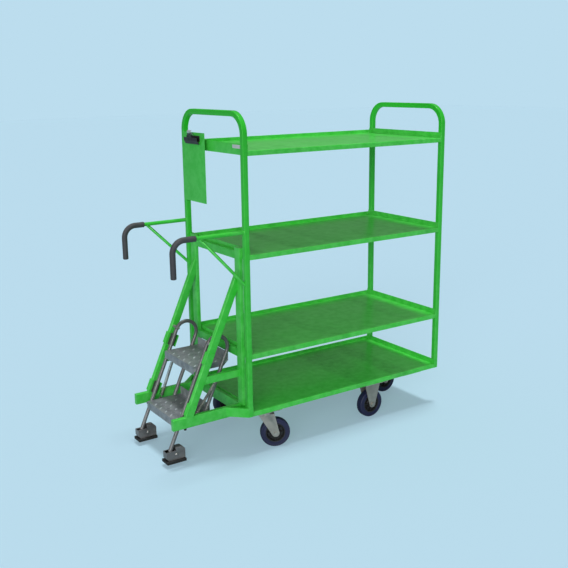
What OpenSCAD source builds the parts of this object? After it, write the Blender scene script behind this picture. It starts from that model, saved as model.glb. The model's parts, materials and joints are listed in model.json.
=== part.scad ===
// Order picking trolley: four trays between two hoop end frames, push handles,
// a sprung two-step unit at one end and five castors.
// X runs from the step end to the far end, Z is up and the floor is Z = 0.

/* [Frame] */
// Length over the corner posts
frame_l = 1330; // [1100:10:1500]
// Width over the corner posts
frame_w = 630; // [560:10:700]
// Height of the hoops above the top tray's surface
hoop_rise = 187; // [150:1:240]
// Side of the square post tube
post_s = 28; // [24:1:32]
// Wall of the square tube
tube_wall = 1.5; // [1:0.1:2.5]
// Bend radius of the hoops, on the tube's middle line
hoop_bend = 100; // [60:5:140]

/* [Trays] */
// Height of the bottom tray's lower edge
base_z = 215; // [212:1:230]
// Rise from the bottom tray to the next one
rise_1 = 310; // [280:2:360]
// Rise from there to the upper tray
rise_2 = 516; // [460:4:540]
// Rise from there to the top tray
rise_3 = 511; // [470:1:530]
// Thickness of the tray sheet
sheet = 1.5; // [1:0.1:2.5]
// Depth of the downward fold
fold = 25; // [20:1:30]
// Upstand at both ends, above the tray's surface
end_lip = 30; // [15:1:40]
// Upstand along the far side, above the tray's surface
side_lip = 20; // [10:1:30]
// Width of a stiffener under a tray
stiff_w = 40; // [25:1:60]
// Depth of a stiffener under a tray
stiff_d = 15; // [8:1:15]
// Clearance of the trays behind the posts' outer faces
tray_inset = 1; // [0.5:0.5:4]

/* [Inner posts] */
// Width of the inner posts, across the trolley
inner_w = 51; // [40:1:54]
// Depth of the inner posts and of the cross tubes
inner_t = 20; // [15:1:22]
// Distance from the frame's side to the outer face of the inner posts
inner_inset = 57; // [50:1:60]
// Height of the cross tubes at the trays
cross_h = 40; // [30:1:50]
// How far the cross tubes hang below a tray's lower edge
cross_drop = 4; // [0:1:10]

/* [Step frame] */
// Distance from the frame's side to the outer face of the step frame
step_inset = 83; // [74:1:90]
// Width of the step frame's tubes, across the trolley
step_tube = 25; // [20:1:30]
// Height of the base rails
rail_h = 58; // [50:1:64]
// How far the base rails hang below the bottom tray's lower edge
rail_drop = 8; // [0:1:12]
// How far the base rails reach out past the posts
rail_out = 390; // [370:2:400]
// Depth of the sloped struts, square to their slope
strut_d = 40; // [34:1:42]
// Slope of the struts and of the step unit, from upright
lean = 24.2; // [20:0.2:28]
// Middle line of the struts, ahead of the posts at the slope's datum
strut_x = 243; // [240:1:255]
// Height of the slope's datum
slope_z = 384; // [370:1:400]
// Lower edge of the horizontal side braces
brace_z = 415; // [405:1:425]
// Height of the horizontal side braces
brace_h = 40; // [30:1:50]

/* [Handles] */
// Height of the handle tubes' middle line
handle_z = 1182; // [1140:2:1220]
// Diameter of the handle tubes
handle_d = 20; // [18:1:24]
// Bend radius of the handles
handle_bend = 62; // [45:1:80]
// Reach of the grips ahead of the posts, on the middle line
handle_out = 387; // [360:1:400]
// Lower end of the grips
grip_end_z = 1000; // [960:5:1040]
// Where the grips start, ahead of the posts
grip_start = 262; // [220:1:290]
// Outer diameter of the grips
grip_d = 29; // [26:1:34]
// Diameter of the braces under the handles
hbrace_d = 16; // [12:1:18]
// Where the handle braces meet the handles, ahead of the posts
hbrace_out = 246; // [200:1:250]
// Height at which the handle braces meet the posts
hbrace_z = 920; // [880:1:980]
// How much lower the far handle sits
far_drop = 15; // [0:1:20]
// How much shorter the far handle reaches
far_short = 22; // [0:1:30]

/* [Step unit] */
// Distance of the step hoops' middle lines inside the struts
leg_inset = 37; // [34:1:44]
// Diameter of the step hoops' tube
leg_d = 20; // [18:1:22]
// Bend radius of the step hoops, on the middle line
arch_r = 62.5; // [50:0.5:75]
// Middle line of the front legs, ahead of the posts at the slope's datum
leg_x = 249.5; // [246:0.5:254]
// Length of the front legs above the slope's datum
arch_up = 237; // [220:1:245]
// Height of the top tread
top_tread_z = 495; // [480:1:520]
// Height of the lower tread
low_tread_z = 233; // [225:1:255]
// Depth of a tread, front to back
tread_d = 205; // [160:1:220]
// Overhang of a tread ahead of the front legs' middle line
tread_nose = 32; // [28:1:50]
// Thickness of the tread plate
tread_t = 3; // [2:0.2:5]
// Depth of the apron on a tread's front edge
apron = 40; // [34:1:60]
// Depth of the flanges on a tread's sides
flange = 28; // [26:1:45]
// Upstand at a tread's rear edge
rear_lip = 42; // [15:1:50]
// Clear height of the rubber feet above the floor
foot_lift = 20; // [14:1:28]
// Length of a foot
foot_l = 108; // [90:1:120]
// Width of a foot's bracket
foot_w = 41; // [34:1:48]
// Width of a rubber pad
pad_w = 68; // [60:1:90]
// Thickness of a rubber pad
pad_t = 15; // [10:1:18]
// Height of a foot bracket's front, above the floor
foot_low = 82; // [78:1:100]
// Height of a foot bracket's rear, above the floor
foot_high = 98; // [90:1:112]
// Diameter of a foot's pivot bolt
foot_pin_d = 12; // [8:1:14]

/* [Slide guides] */
// Width of a guide channel
guide_w = 52; // [46:1:60]
// Length of a guide channel
guide_len = 64; // [50:1:80]
// Clearance between a leg and its liners
slide_gap = 0.3; // [0.3:0.1:0.8]
// Distance of the upper guide above the slope's datum, along the slope
guide_up = 176; // [165:1:185]
// Distance of the lower guide below the slope's datum, along the slope
guide_down = 98; // [85:1:102]
// Diameter of the stop bolts
stop_d = 10; // [8:1:12]

/* [Return springs] */
// Wire of a return spring
wire_d = 3.8; // [3:0.2:4]
// Mean diameter of a return spring's coil
coil_d = 14; // [13:0.5:15]
// Pitch of a return spring's coil
coil_pitch = 5.2; // [4.8:0.1:6]
// Where the near spring hangs on the brace, ahead of the posts
spring_top_x = 102; // [90:1:120]
// Where the near spring holds the lower tread, ahead of the posts
spring_low_x = 268; // [255:1:280]
// Where the far spring hangs on the brace, ahead of the posts
far_top_x = 170; // [160:1:185]
// Where the far spring holds the lower tread, ahead of the posts
far_low_x = 255; // [245:1:265]
// Diameter of the spring pins
spin_d = 8; // [6:1:9]

/* [Castors] */
// Wheel diameter
wheel_d = 160; // [140:1:164]
// Width of the tyre
tyre_w = 40; // [30:1:44]
// Depth of the tyre
tyre_t = 27; // [14:1:30]
// Trail of a swivel castor
trail = 48; // [36:1:56]
// Swivel of the near castor as it stands
near_turn = -25; // [-60:5:60]
// Height over a castor's plate
castor_h = 213; // [208:1:214]
// Distance of the side castors' pivots from the frame's side
castor_inset = 60; // [60:1:90]
// Front castors' pivots, behind the step end's posts
front_castor_x = 140; // [120:2:180]
// Fixed castors' axles, behind the step end's posts
mid_castor_x = 852; // [700:2:900]
// Rear castor's pivot, behind the step end's posts
rear_castor_x = 1127; // [1080:1:1140]
// Length of a castor's plate
plate_l = 135; // [120:1:140]
// Width of a castor's plate
plate_w = 110; // [96:1:110]
// Spacing of the plate's holes, along the trolley
hole_l = 105; // [96:1:110]
// Spacing of the plate's holes, across the trolley
hole_w = 80; // [70:1:84]
// Axle diameter
axle_d = 12; // [10:1:14]
// Radial running clearance of axles, pivots and pins
run_gap = 0.05; // [0.02:0.01:0.1]

/* [Clipboard] */
// Width of the clipboard plate
board_w = 243; // [215:1:250]
// Height of the clipboard plate
board_h = 364; // [310:1:380]
// Top edge of the clipboard plate above the top tray's surface
board_up = 67; // [40:1:80]
// Distance from the frame's side to the clipboard plate
board_inset = 13; // [5:1:30]
// Width of the spring clip
clip_w = 145; // [90:1:160]
// Distance of the clip's pin below the plate's top edge
clip_drop = 34; // [30:1:60]

/* [Label plate] */
// Length of the label plate
label_w = 75; // [60:1:90]
// Height of the label plate
label_h = 18; // [12:1:24]
// Distance from the frame's side to the label plate
label_in = 69; // [40:1:90]
// Height of the label plate above the top tray's lower edge
label_up = 30; // [4:1:34]

/* [Hidden] */
$fn = 48;
weld = 0.01;
bolt_r = 5;
grip_wall = 4;
y_side = frame_w / 2;
y_post = y_side - post_s / 2;
foot_front = 418;
buffer_x = 320;
buffer_h = 12;
x_mid = (frame_l - foot_front) / 2;
tray_z = [base_z, base_z + rise_1, base_z + rise_1 + rise_2, base_z + rise_1 + rise_2 + rise_3];
tray_y = y_side - tray_inset;
frame_h = tray_z[3] + fold + hoop_rise;
inner_out = y_side - inner_inset;
inner_in = inner_out - inner_w;
step_out = y_side - step_inset;
step_in = step_out - step_tube;
step_mid = (step_out + step_in) / 2;
leg_y = step_in - leg_inset;
rise = tan(lean);
rail_z = base_z - rail_drop;
rail_top = rail_z + rail_h;
travel = foot_lift / cos(lean);
pad_top = foot_lift + pad_t;
foot_pin_x = 360;
foot_pin_z = 62;
foot_round = 22;
foot_wall = 3;
dome_r = 10;
tread_half = leg_y - 7;
leg_end_z = foot_pin_z + 12;
leg_room = leg_d / 2 + 19;
lug_w = 16;
stop_z = arch_up + 10;
guide_t = 4;
strut_front = -(strut_x - leg_x) * cos(lean) - strut_d / 2;
axle_z = wheel_d / 2;
castor_y = y_side - castor_inset;
castors = [
    [front_castor_x, -castor_y], [front_castor_x, castor_y],
    [mid_castor_x, -castor_y], [mid_castor_x, castor_y],
    [rear_castor_x, 0]
];
plate_t = 4;
race_h = 10;
race_z = castor_h - plate_t - race_h;
crown_z = castor_h - 26;
crown_t = 4;
head_r = 34;
race_gap = 0.3;
fork_in = tyre_w / 2 + 6;
fork_t = 4;
fork_half = 43;
eye_r = 20;
king_r = 8;
hub_r = 17;
spring_y = (leg_y + leg_d / 2 + step_in) / 2;
spring_top_z = brace_z + 13;
spring_low_z = low_tread_z - flange / 2;
hook_r = spin_d / 2 + wire_d / 2 + 0.5;
board_top = tray_z[3] + fold + board_up;
clip_z = board_top - clip_drop;
clip_x = 13;
clip_mid = y_side - board_inset - board_w / 2;
sheet_x = 2;
ear_y = 20;
lever_y = 17;

green = [0.22, 0.68, 0.28];
grey = [0.45, 0.46, 0.48];
tread_grey = [0.52, 0.55, 0.6];
zinc = [0.74, 0.73, 0.7];
black = [0.13, 0.13, 0.14];
tyre_blue = [0.2, 0.22, 0.42];

// Puts pieces drawn from the step end's posts into the part's own frame
module placed() translate([-x_mid, 0, 0]) children();

// Two mirrored copies, one on each side of the trolley
module both() for (side = [-1, 1]) scale([1, side, 1]) children();

// Frame of the slope: Z runs up the slope, X leads square away from it
module on_slope(x) translate([-x, 0, slope_z]) rotate([0, lean, 0]) children();

// Upright square tube, its middle at the origin
module square_tube(w, d, h, wall = tube_wall) {
    linear_extrude(h) difference() {
        square([w, d], center = true);
        square([w - 2 * wall, d - 2 * wall], center = true);
    }
}

// Round tube along Z
module round_tube(d, h, wall = tube_wall) {
    linear_extrude(h) difference() {
        circle(d = d);
        circle(d = d - 2 * wall);
    }
}

// Box between two corners
module span(a, b) translate(a) cube(b - a);

// Hoop of square tube in the YZ plane
module end_frame(x) {
    top = frame_h - post_s / 2;
    straight = top - hoop_bend;
    translate([x, 0, 0]) {
        both() {
            translate([0, y_post, base_z]) square_tube(post_s, post_s, straight - base_z);
            translate([0, y_post - hoop_bend, straight])
                rotate([90, 0, 90]) rotate_extrude(angle = 90, $fn = 96)
                    translate([hoop_bend, 0]) difference() {
                        square(post_s, center = true);
                        square(post_s - 2 * tube_wall, center = true);
                    }
        }
        translate([0, -y_post + hoop_bend, top]) rotate([-90, 0, 0])
            square_tube(post_s, post_s, 2 * (y_post - hoop_bend));
    }
}

// Folded tray: lips up at both ends and along the far side, edge folded down all round
module tray(z) {
    x0 = post_s;
    x1 = frame_l - post_s;
    top = z + fold;
    span([x0, -tray_y, top - sheet], [x1, tray_y, top]);
    span([x0, -tray_y, z], [x1, -tray_y + sheet, top]);
    span([x0, tray_y - sheet, z], [x1, tray_y, top + side_lip]);
    for (x = [x0, x1 - sheet]) span([x, -tray_y, z], [x + sheet, tray_y, top + end_lip]);
}

// Top-hat stiffeners across the underside of the three upper trays
module stiffener(x, z) {
    under = z + fold - sheet;
    inner = tray_y - sheet;
    difference() {
        span([x - stiff_w / 2, -inner, under - stiff_d], [x + stiff_w / 2, inner, under]);
        span([x - stiff_w / 2 + sheet, -inner - 1, under - stiff_d + sheet],
             [x + stiff_w / 2 - sheet, inner + 1, under + 1]);
    }
}

// Channel across the bottom tray that carries castors
module bearer(x) {
    top = base_z + fold - sheet;
    half = plate_l / 2 + 2;
    inner = tray_y - sheet;
    difference() {
        span([x - half, -inner, castor_h], [x + half, inner, top]);
        span([x - half + 3, -inner - 1, castor_h + 3], [x + half - 3, inner + 1, top + 1]);
        bolt_holes(x);
    }
}

module bolt_holes(x) for (c = castors) if (c[0] == x) plate_holes(c);

module plate_holes(c) for (i = [-1, 1], j = [-1, 1])
    translate([c[0] + i * hole_l / 2, c[1] + j * hole_w / 2, castor_h - 20])
        cylinder(h = 40, r = bolt_r + 0.5);

// Base rail on edge, closed at its outer end
module base_rail() difference() {
    span([-rail_out, step_in, rail_z], [post_s, step_out, rail_top]);
    span([-rail_out + tube_wall, step_in + tube_wall, rail_z + tube_wall],
         [post_s + 1, step_out - tube_wall, rail_top - tube_wall]);
}

// Plate that ties an inner post to its corner post at a tray
module post_tie(z) span([inner_t - 4, inner_out, z], [inner_t, y_side - post_s, z + fold + end_lip]);

// Tube across the step end, between two heights and two posts or rails
module cross_tube(half, z0, z1) difference() {
    span([0, -half, z0], [inner_t, half, z1]);
    span([tube_wall, -half - 1, z0 + tube_wall], [inner_t - tube_wall, half + 1, z1 - tube_wall]);
}

// Buffer under a base rail, near its outer end
module buffer() translate([-buffer_x, step_mid, rail_z - buffer_h]) cylinder(h = buffer_h, d = 14);

// Slanted tie between a rail and its corner post
module corner_gusset() {
    reach = step_inset + 4;
    linear_extrude(rail_top - base_z) polygon([
        [0, y_side - post_s], [0, y_side], [-reach, step_out], [-reach + 1.2 * post_s, step_out]
    ]);
}

module strut() {
    half = strut_d / 2;
    far = 900;
    intersection() {
        difference() {
            on_slope(strut_x) span([-half, step_in, -far], [half, step_out, far]);
            on_slope(strut_x) span([-half + tube_wall, step_in + tube_wall, -far - 1],
                                   [half - tube_wall, step_out - tube_wall, far + 1]);
            stop_slot();
        }
        span([-frame_l, 0, rail_top], [0, y_side, frame_h]);
    }
}

// Slot in a strut's inner wall for the stop bolt, as long as the step unit's travel
module stop_slot() on_slope(leg_x) {
    r = stop_d / 2 + 0.5;
    for (z = [stop_z, stop_z - travel]) translate([0, step_in - 1, z])
        rotate([-90, 0, 0]) cylinder(h = tube_wall + 2, r = r);
    span([-r, step_in - 1, stop_z - travel], [r, step_in + tube_wall + 1, stop_z]);
}

// Horizontal brace from the inner post to the strut
module side_brace() difference() {
    span([-strut_x, step_in, brace_z], [0, step_out, brace_z + brace_h]);
    span([-strut_x - 1, step_in + tube_wall, brace_z + tube_wall],
         [1, step_out - tube_wall, brace_z + brace_h - tube_wall]);
    on_slope(strut_x) span([-frame_l, 0, -frame_l], [strut_d / 2, y_side, frame_l]);
}

// Bracket that wraps a strut's front and outer faces, with a wall behind the leg
module guide_channel(z) on_slope(leg_x) translate([0, 0, z - guide_len / 2]) {
    t = guide_t;
    span([strut_front - t, step_in - t, 0], [guide_w / 2, step_in, guide_len]);
    span([guide_w / 2 - t, leg_y - 5, 0], [guide_w / 2, step_in, guide_len]);
    span([strut_front - t, step_in - t, 0], [strut_front, step_out + t, guide_len]);
    span([strut_front - t, step_out, 0], [strut_front + strut_d - 3, step_out + t, guide_len]);
}

// Nylon liner behind and beside a leg, grooved for it
module liner(z) on_slope(leg_x) translate([0, 0, z - guide_len / 2]) difference() {
    span([-leg_d / 4, leg_y - 2, 0], [leg_d / 2 + 3, step_in - guide_t, guide_len]);
    translate([0, leg_y, -1]) cylinder(h = guide_len + 2, r = leg_d / 2 + slide_gap);
    span([-leg_d / 2 - slide_gap, leg_y - 3, -1], [leg_d / 2 + slide_gap, leg_y, guide_len + 1]);
}

// Middle line of a handle, swept by a disc of radius r, from one end to the other.
// drop and short say how much lower the handle sits and how much less it reaches.
module handle_path(r, start, stop, drop, short) {
    bend_x = -handle_out + short + handle_bend;
    bend_z = handle_z - drop - handle_bend;
    translate([bend_x, y_post, handle_z - drop]) rotate([0, 90, 0]) cylinder(h = -start - bend_x, r = r);
    translate([bend_x, y_post, bend_z]) rotate([90, 0, 0]) rotate([0, 0, 90])
        rotate_extrude(angle = 90, $fn = 64) translate([handle_bend, 0]) circle(r);
    translate([-handle_out + short, y_post, stop]) cylinder(h = bend_z - stop, r = r);
}

function grip_low(drop) = grip_end_z - drop / 2;
function grip_from(short) = grip_start - short / 2;

module push_handle(drop, short) difference() {
    handle_path(handle_d / 2, 0, grip_low(drop) + grip_wall, drop, short);
    handle_path(handle_d / 2 - tube_wall, -1, grip_low(drop), drop, short);
}

module grip(drop, short) difference() {
    handle_path(grip_d / 2, grip_from(short), grip_low(drop), drop, short);
    handle_path(handle_d / 2, grip_from(short) - 1, grip_low(drop) + grip_wall, drop, short);
}

// Straight brace from a handle down to its post
module handle_brace(drop) {
    top = handle_z - drop;
    out = hbrace_out - drop / 2;
    fall = handle_z - hbrace_z - 2 * drop;
    angle = atan(out / fall);
    long = sqrt(fall * fall + out * out);
    intersection() {
        difference() {
            translate([-out, y_post, top]) rotate([0, 180 - angle, 0])
                translate([0, 0, -20]) round_tube(hbrace_d, long + 40);
            translate([-frame_l, y_post, top]) rotate([0, 90, 0])
                cylinder(h = 2 * frame_l, r = handle_d / 2);
        }
        span([-frame_l, 0, 0], [0, y_side, top]);
    }
}

// Run of a step hoop as a round bar: front leg, arch and rear leg
module hoop_run(r) on_slope(leg_x) translate([0, leg_y, 0]) {
    down = slope_z / cos(lean);
    for (x = [0, 2 * arch_r]) translate([x, 0, -down]) cylinder(h = down + arch_up, r = r);
    translate([arch_r, 0, arch_up]) rotate([90, 0, 0])
        rotate_extrude(angle = 180, $fn = 64) translate([arch_r, 0]) circle(r);
}

// Step hoop: its front leg ends in the foot and its rear leg beside the lower tread
module step_hoop() intersection() {
    difference() {
        hoop_run(leg_d / 2);
        hoop_run(leg_d / 2 - tube_wall);
    }
    union() {
        span([-frame_l, 0, low_tread_z - flange], [frame_l, y_side, frame_h]);
        span([-frame_l, 0, leg_end_z], [-leg_line(low_tread_z) + leg_d, y_side, low_tread_z]);
    }
}

// Middle line of the front legs at a height, as a distance ahead of the posts
function leg_line(z) = leg_x - (z - slope_z) * rise;

// Tread: plate, front apron, side flanges and a rear upstand
module tread(z) {
    x0 = -leg_line(z) - tread_nose;
    x1 = x0 + tread_d;
    half = tread_half;
    difference() {
        union() {
            span([x0, -half, z - tread_t], [x1, half, z]);
            span([x0, -half, z - apron], [x0 + tread_t, half, z]);
            span([x1 - tread_t, -half, z - tread_t], [x1, half, z + rear_lip]);
            for (y = [-half, half - tread_t]) translate([0, y + tread_t, 0]) rotate([90, 0, 0])
                linear_extrude(tread_t) polygon([
                    [x0, z], [x0, z - flange], [x1 - flange, z - flange], [x1, z - tread_t], [x1, z]
                ]);
        }
        both() hoop_run(leg_d / 2);
    }
}

// Bolt through a leg into the slot of its strut, with a spacer
module stop_bolt_bar() on_slope(leg_x) translate([0, 0, stop_z]) {
    across(leg_y, step_in + 10, stop_d);
    across(leg_y, step_in - 0.4, 1.6 * stop_d);
    across(leg_y - leg_d / 2 - 5, leg_y, 1.8 * stop_d);
}

module stop_bolt() difference() {
    stop_bolt_bar();
    hoop_run(leg_d / 2);
}

// Disc or pin along Y between two distances from the middle plane
module across(y0, y1, d) translate([0, y0, 0]) rotate([-90, 0, 0]) cylinder(h = y1 - y0, d = d);

// Pins that the return springs hook onto, with a head
module spring_pin(x, z, root, reach) translate([-x, 0, z]) {
    across(min(root, reach), max(root, reach), spin_d);
    across(reach - 1, reach + 1, spin_d + 8);
}

// Helix with a hook at each end, as one swept wire
function spring_run(len) = len - 2 * (hook_r + coil_d / 2 + 4);
function coil_turns(len) = floor(spring_run(len) / coil_pitch);
function helix_point(a, len) = let (t = a / (360 * coil_turns(len)))
    [coil_d / 2 * cos(a), coil_d / 2 * sin(a), len / 2 - spring_run(len) / 2 + spring_run(len) * t];

// End of the coil led in to the axis and round the pin
function hook_points(len, s) = let (c = len / 2, e = s * (spring_run(len) / 2))
    [for (k = [1:4]) let (f = 1 - k / 4) [coil_d / 2 * f, 0, c + e + s * (1 + 4 * k / 4)]];
function eye_points(len, s) = let (c = len / 2, zc = c + s * c)
    [for (a = [0:30:300]) let (b = -90 * s + a) [hook_r * sin(a), 0, zc - s * hook_r * cos(a)]];

function spring_points(len) = let (n = coil_turns(len) * 360) concat(
    reverse(eye_points(len, -1)), reverse(hook_points(len, -1)),
    [for (a = [0:45:n]) helix_point(a, len)],
    hook_points(len, 1), eye_points(len, 1)
);

// Least clear distance of a wire to itself, between points at least skip points apart
function least_gap(p, d, skip) =
    min([for (i = [0:len(p) - skip - 1], j = [i + skip:len(p) - 1]) norm(p[j] - p[i])]) - d;

function reverse(list) = [for (i = [len(list) - 1:-1:0]) list[i]];
function unit(v) = v / norm(v);

// Rings of a tube swept along points, each square to the run there
function ring(p, i, d, sides) = let (
    a = p[max(i - 1, 0)], b = p[min(i + 1, len(p) - 1)], t = unit(b - a),
    ref = abs(t[0]) > 0.9 ? [0, 0, 1] : [1, 0, 0],
    u = unit(cross(t, ref)), v = cross(t, u)
) [for (k = [0:sides - 1]) p[i] + d / 2 * (u * cos(k * 360 / sides) + v * sin(k * 360 / sides))];

module swept(p, d, sides) {
    n = len(p);
    polyhedron(
        points = [for (i = [0:n - 1]) each ring(p, i, d, sides)],
        faces = concat(
            [[for (k = [0:sides - 1]) k]],
            [for (i = [0:n - 2], k = [0:sides - 1]) let (a = i * sides + k, b = i * sides + (k + 1) % sides)
                each [[a, b + sides, b], [a, a + sides, b + sides]]],
            [[for (k = [sides - 1:-1:0]) (n - 1) * sides + k]]
        )
    );
}

// Spring from a pin on the lower tread to a pin on the brace, given their distances ahead of the posts
module return_spring(top_x, low_x) {
    dx = low_x - top_x;
    dz = spring_top_z - spring_low_z;
    points = spring_points(sqrt(dx * dx + dz * dz));
    echo("Least gap of a return spring", least_gap(points, wire_d, 5));
    translate([-low_x, spring_y, spring_low_z]) rotate([0, atan(dx / dz), 0])
        swept(points, wire_d, 6);
}

// Side outline of a foot's bracket, with a low front and a taller rounded rear
module foot_outline(inset) {
    x0 = -foot_front + 3 + inset;
    x1 = -foot_front + foot_l - inset;
    low = foot_low - inset;
    high = foot_high - inset;
    step = -foot_pin_x - 3 + inset;
    round_r = foot_round - inset;
    polygon([[x0, pad_top + 14], [x0 + 12, pad_top], [x1, pad_top], [x1, high - round_r],
             [x1 - round_r, high - round_r], [x1 - round_r, high], [step, high], [step, low], [x0, low]]);
    translate([x1 - round_r, high - round_r]) circle(round_r);
}

// Foot bracket: bent cover with two cheeks, open inside for the leg's eye
module foot_bracket() difference() {
    translate([0, leg_y + foot_w / 2, 0]) rotate([90, 0, 0]) linear_extrude(foot_w) foot_outline(0);
    translate([0, leg_y + foot_w / 2 - foot_wall, 0]) rotate([90, 0, 0])
        linear_extrude(foot_w - 2 * foot_wall) foot_outline(foot_wall);
    translate([-foot_pin_x, 0, foot_pin_z])
        across(leg_y - foot_w, leg_y + foot_w, foot_pin_d + 2 * run_gap);
    span([-leg_line(foot_low) - leg_room, leg_y - leg_d / 2 - 3, leg_end_z - 9],
         [-leg_line(foot_low) + leg_room, leg_y + leg_d / 2 + 3, frame_h]);
}

module foot_pad() span([-foot_front, leg_y - pad_w / 2, foot_lift],
                       [-foot_front + foot_l, leg_y + pad_w / 2, pad_top]);

// Pivot bolt of a foot, with domed ends and the leg's eye plate
module foot_bolt() translate([-foot_pin_x, 0, foot_pin_z]) {
    half = foot_w / 2;
    across(leg_y - half - 1, leg_y + half + 1, foot_pin_d);
    for (s = [-1, 1]) translate([0, leg_y + s * (half + 0.4), 0]) rotate([-s * 90, 0, 0])
        rotate_extrude() intersection() {
            translate([0, -0.4 * dome_r]) circle(dome_r);
            square(dome_r);
        }
    across(leg_y - lug_w / 2, leg_y + lug_w / 2, foot_pin_d + 10);
    translate([0, leg_y + lug_w / 2, 0]) rotate([90, 0, 0]) linear_extrude(lug_w) polygon([
        [foot_pin_x - leg_line(leg_end_z) - 11, leg_end_z - foot_pin_z],
        [foot_pin_x - leg_line(leg_end_z) + 11, leg_end_z - foot_pin_z],
        [0, 9], [0, -11], [foot_pin_x - leg_line(leg_end_z) - 8, -4]
    ]);
}

// Tangent point from p to a circle, on the side s
function tangent(p, c, r, s) = let (d = norm(p - c), a = atan2(p[1] - c[1], p[0] - c[0]) + s * acos(r / d))
    c + r * [cos(a), sin(a)];

// Side plate of a fork or bracket, from its top edge to the axle's eye
module cheek(x0, x1, top, ax) {
    c = [ax, axle_z];
    polygon([[x0, top], [x1, top], tangent([x1, top], c, eye_r, -1), c, tangent([x0, top], c, eye_r, 1)]);
    translate(c) circle(eye_r);
}

module cheeks(x0, x1, top, ax) difference() {
    for (y = [-fork_in - fork_t, fork_in]) translate([0, y + fork_t, 0])
        rotate([90, 0, 0]) linear_extrude(fork_t) cheek(x0, x1, top, ax);
    translate([ax, 0, axle_z]) across(-fork_in - fork_t - 1, fork_in + fork_t + 1, axle_d + 2 * run_gap);
}

// Swivel fork about its own pivot axis, trailing towards +X
module fork() difference() {
    union() {
        cheeks(-fork_half, fork_half, crown_z + crown_t, trail);
        span([-fork_half, -fork_in - fork_t, crown_z], [fork_half, fork_in + fork_t, crown_z + crown_t]);
        translate([0, 0, crown_z]) cylinder(h = race_z - race_gap - crown_z, r = head_r);
    }
    translate([0, 0, crown_z - 1]) cylinder(h = 60, r = king_r + run_gap);
}

// Plate of a swivel castor with its race and king pin
module swivel_plate(c) {
    translate([c[0], c[1], 0]) {
        span([-plate_l / 2, -plate_w / 2, castor_h - plate_t], [plate_l / 2, plate_w / 2, castor_h]);
        translate([0, 0, race_z]) cylinder(h = race_h, r1 = head_r + 2, r2 = head_r + 6);
        translate([0, 0, crown_z - race_gap]) cylinder(h = race_z - crown_z + 1, r = king_r);
        translate([0, 0, crown_z - race_gap - 5]) cylinder(h = 5, r = king_r + 4);
    }
}

// Bracket of a fixed castor: plate and two cheeks in one pressing
module fixed_bracket(c) {
    half = 56;
    difference() {
        translate([c[0], c[1], 0]) {
            span([-plate_l / 2, -plate_w / 2, castor_h - plate_t], [plate_l / 2, plate_w / 2, castor_h]);
            cheeks(-half, half, castor_h - plate_t + weld, 0);
        }
        plate_holes(c);
    }
}

// Place of an axle, trail behind a castor's pivot and turned about it
module at_axle(c, trail, turn) translate([c[0], c[1], axle_z]) rotate([0, 0, turn])
    translate([trail, 0, 0]) children();

module axle(c, trail = 0, turn = 0) at_axle(c, trail, turn) {
    out = fork_in + fork_t;
    across(-out, out, axle_d);
    translate([0, -out, 0]) rotate([90, 0, 0]) cylinder(h = 7, r = 10.5, $fn = 6);
    translate([0, out, 0]) rotate([-90, 0, 0]) cylinder(h = 10, r = 10.5, $fn = 6);
}

module castor_bolt(x, y) translate([x, y, 0]) {
    under = castor_h - plate_t;
    translate([0, 0, under - 6.4]) cylinder(h = 6.4, r = 9.2, $fn = 6);
    translate([0, 0, under - 1]) cylinder(h = 16, r = bolt_r);
    translate([0, 0, castor_h + 3]) cylinder(h = 8, r = 9.2, $fn = 6);
}

// Wheel centre: hub, web and rim turned about the axle
module wheel(c, trail = 0, turn = 0) at_axle(c, trail, turn) rotate([90, 0, 0])
    rotate_extrude($fn = 96) {
        rim = axle_z - tyre_t;
        bore = axle_d / 2 + run_gap;
        hub_half = fork_in - 0.6;
        translate([bore, -hub_half]) square([hub_r - bore, 2 * hub_half]);
        translate([hub_r - 1, -5]) square([rim - hub_r - 1, 10]);
        translate([rim - 7, -tyre_w / 2 + 1]) square([7, tyre_w - 2]);
    }

// Tyre with a slightly crowned tread and rounded shoulders
module tyre(c, trail = 0, turn = 0) at_axle(c, trail, turn) rotate([90, 0, 0])
    rotate_extrude($fn = 96) {
        rim = axle_z - tyre_t;
        shoulder = 6;
        half = tyre_w / 2;
        translate([rim, -half]) square([tyre_t - shoulder, tyre_w]);
        translate([rim, -half + shoulder]) square([tyre_t, tyre_w - 2 * shoulder]);
        for (s = [-1, 1]) translate([axle_z - shoulder, s * (half - shoulder)]) circle(shoulder);
    }

// Spring clip: fixed leaf with two ears, jaw with a thumb lever, pin and coil
module clip_leaf() {
    translate([-sheet_x - 1.2, clip_mid - clip_w / 2, clip_z - 12]) cube([1.2, clip_w, 30]);
    for (s = [-1, 1]) difference() {
        translate([-clip_x - 3.5, clip_mid + s * ear_y - 0.75, clip_z - 6])
            cube([clip_x + 3.5 - sheet_x, 1.5, 12]);
        translate([-clip_x, 0, clip_z])
            across(clip_mid + s * ear_y - 2, clip_mid + s * ear_y + 2, 4 + 2 * run_gap);
    }
}

// Jaw outline in the XZ plane: lip on the paper, body over the pin, lever above
module jaw_outline() {
    t = 1.4;
    p = [[-sheet_x - 1.1, -26], [-8, -25], [-18, -8], [-19, 6], [-24, 20], [-28, 30]];
    for (i = [0:len(p) - 2]) {
        a = p[i];
        b = p[i + 1];
        n = t / 2 * [-(b[1] - a[1]), b[0] - a[0]] / norm(b - a);
        polygon([a - n, b - n, b + n, a + n]);
        if (i > 0) translate(a) circle(d = t);
    }
}

// Coil of the clip, about its pin
module clip_coil() {
    turns = 6;
    width = 18;
    points = [for (a = [0:45:360 * turns])
        [3.4 * cos(a), 3.4 * sin(a), width * (a / (360 * turns) - 0.5)]];
    echo("Least gap of the clip's coil", least_gap(points, 1.2, 5));
    swept(points, 1.2, 6);
}

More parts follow.
